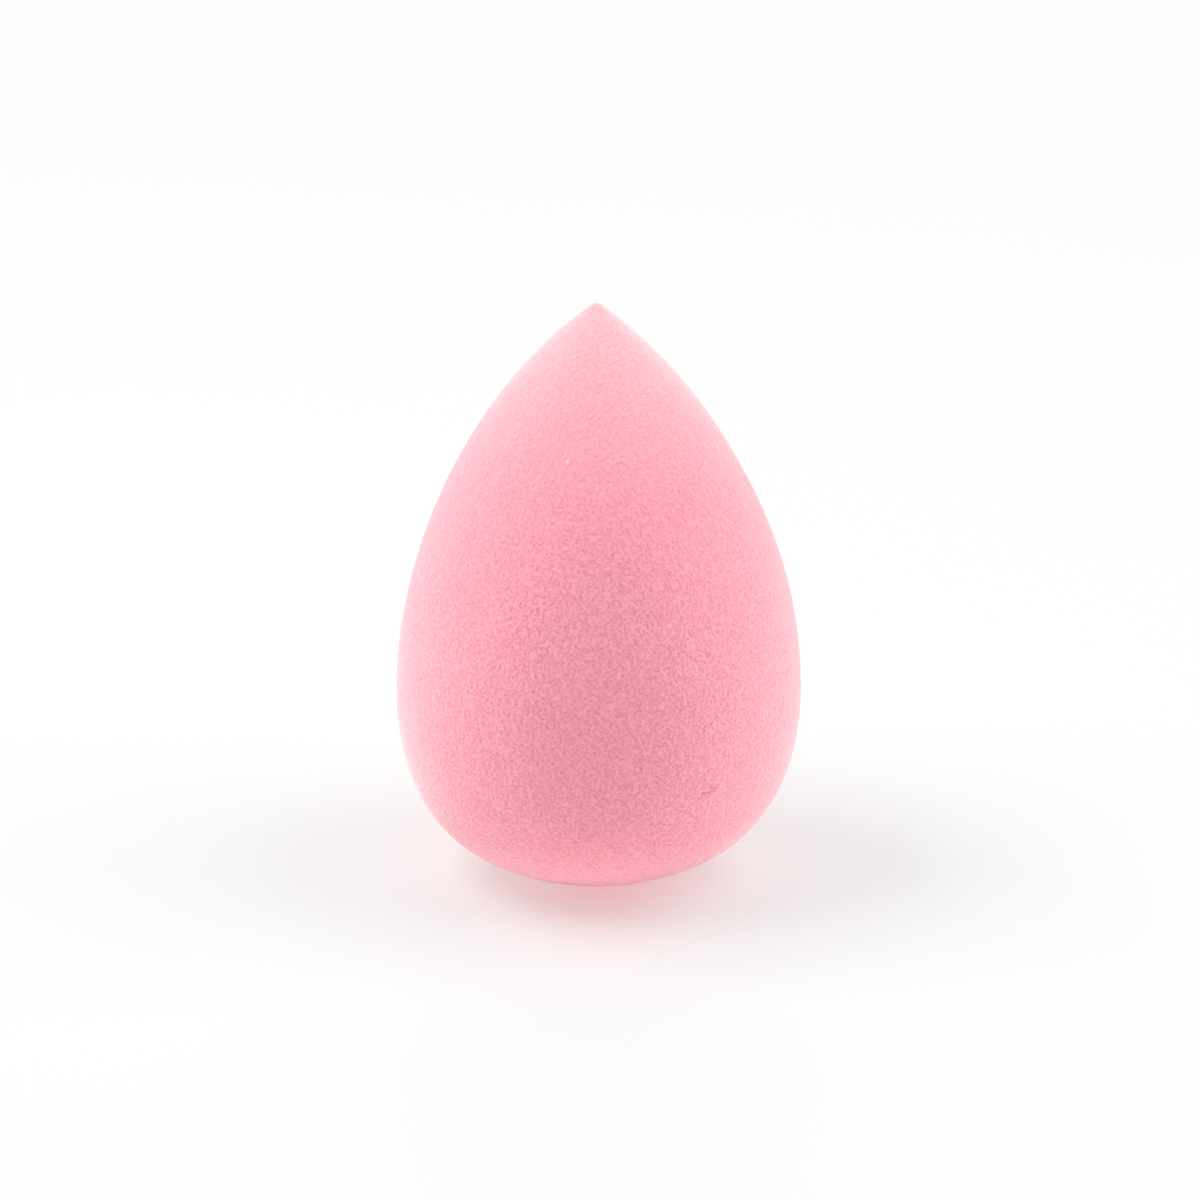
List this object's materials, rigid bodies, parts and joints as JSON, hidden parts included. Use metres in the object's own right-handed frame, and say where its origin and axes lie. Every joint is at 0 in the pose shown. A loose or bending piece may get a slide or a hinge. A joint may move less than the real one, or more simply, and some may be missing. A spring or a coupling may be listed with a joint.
{
  "type": "makeup sponge",
  "caption": "Teardrop makeup sponge in pink foam: a round body with a blunt pointed tip, standing upright on a small flat.",
  "frame": {"origin": "centre of the flat that the sponge stands on", "axes": "+Z from the flat up to the tip; the body is round about Z"},
  "size_m": [0.04, 0.04, 0.0585],
  "materials": {
    "foam": "matte"
  },
  "bodies": {
    "root": {"sponge_body": "foam"}
  },
  "joints": []
}
